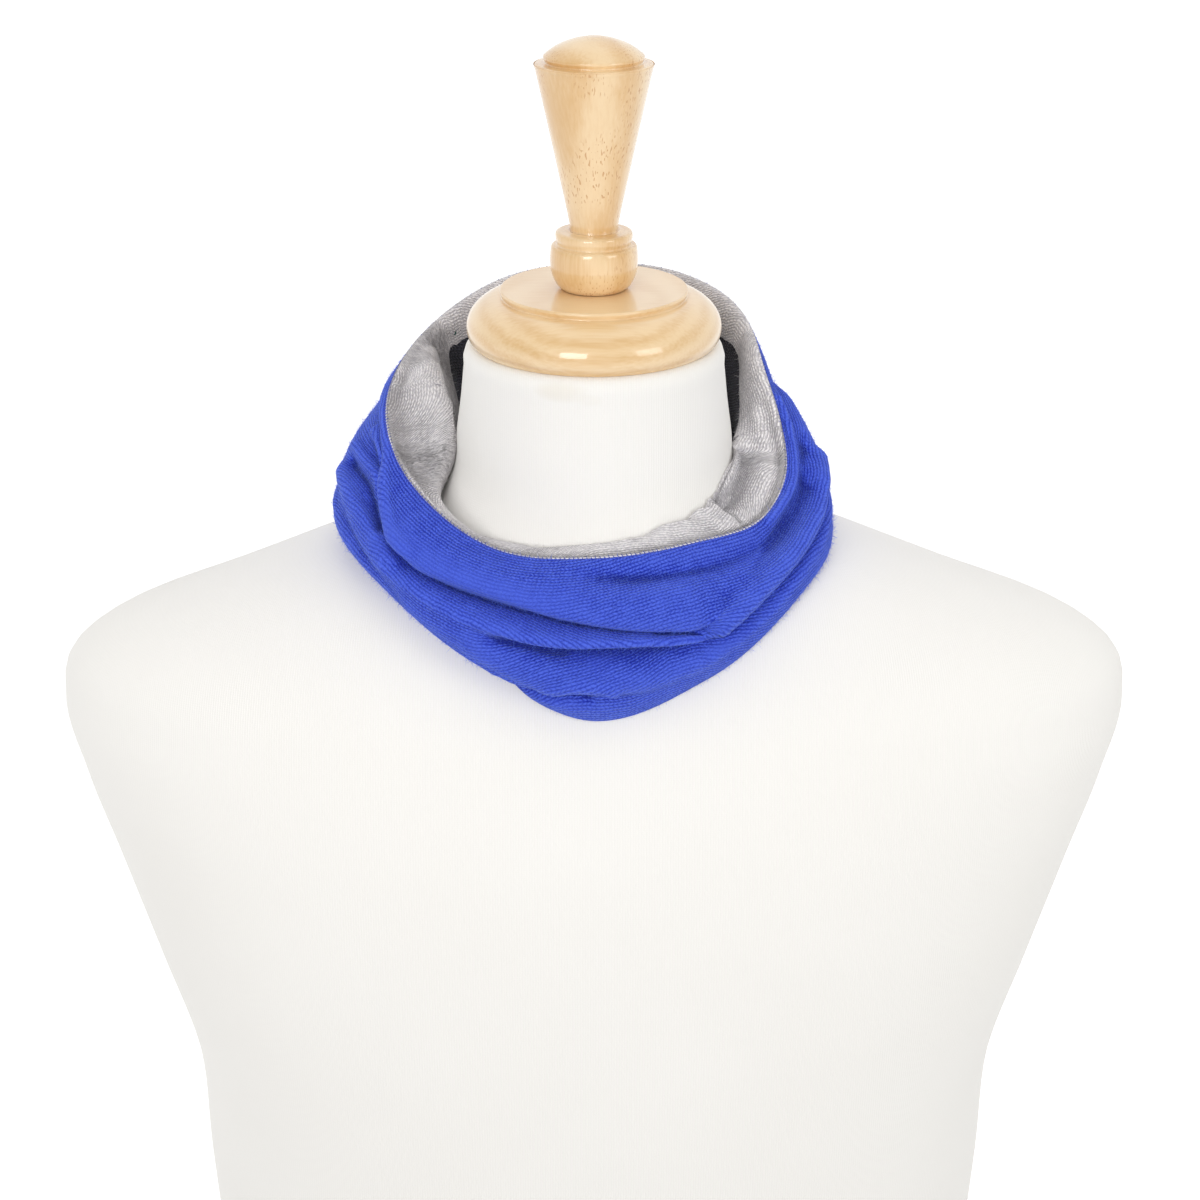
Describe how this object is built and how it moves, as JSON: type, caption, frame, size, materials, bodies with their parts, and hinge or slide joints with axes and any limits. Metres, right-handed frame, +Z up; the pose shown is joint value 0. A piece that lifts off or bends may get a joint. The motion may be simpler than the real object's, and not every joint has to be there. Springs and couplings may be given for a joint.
{
  "type": "neck warmer on a dress form",
  "caption": "Double knitted tube scarf, blue outside and grey inside, scrunched in soft folds round the neck of a limbless dress form with a turned wooden neck cap.",
  "frame": {"origin": "middle of the flat underside of the dress form", "axes": "+Z up along the neck, -Y towards the chest, +X towards the form's left shoulder, the viewer's right"},
  "size_m": [0.497, 0.241, 0.8486],
  "materials": {
    "blue_knit": "fine stocking-stitch wool knit, slightly napped",
    "grey_knit": "grey marl wool knit",
    "navy_knit": "dark navy wool knit",
    "white_jersey": "off-white jersey cover, stretched smooth",
    "pale_wood": "turned pale wood, glossy varnish"
  },
  "bodies": {
    "root": {"outer_front": "blue_knit", "outer_back": "blue_knit", "lining_front": "grey_knit", "lining_back": "grey_knit", "lining_back_band": "navy_knit", "form_body": "white_jersey", "neck_cap": "pale_wood", "finial": "pale_wood"}
  },
  "joints": []
}
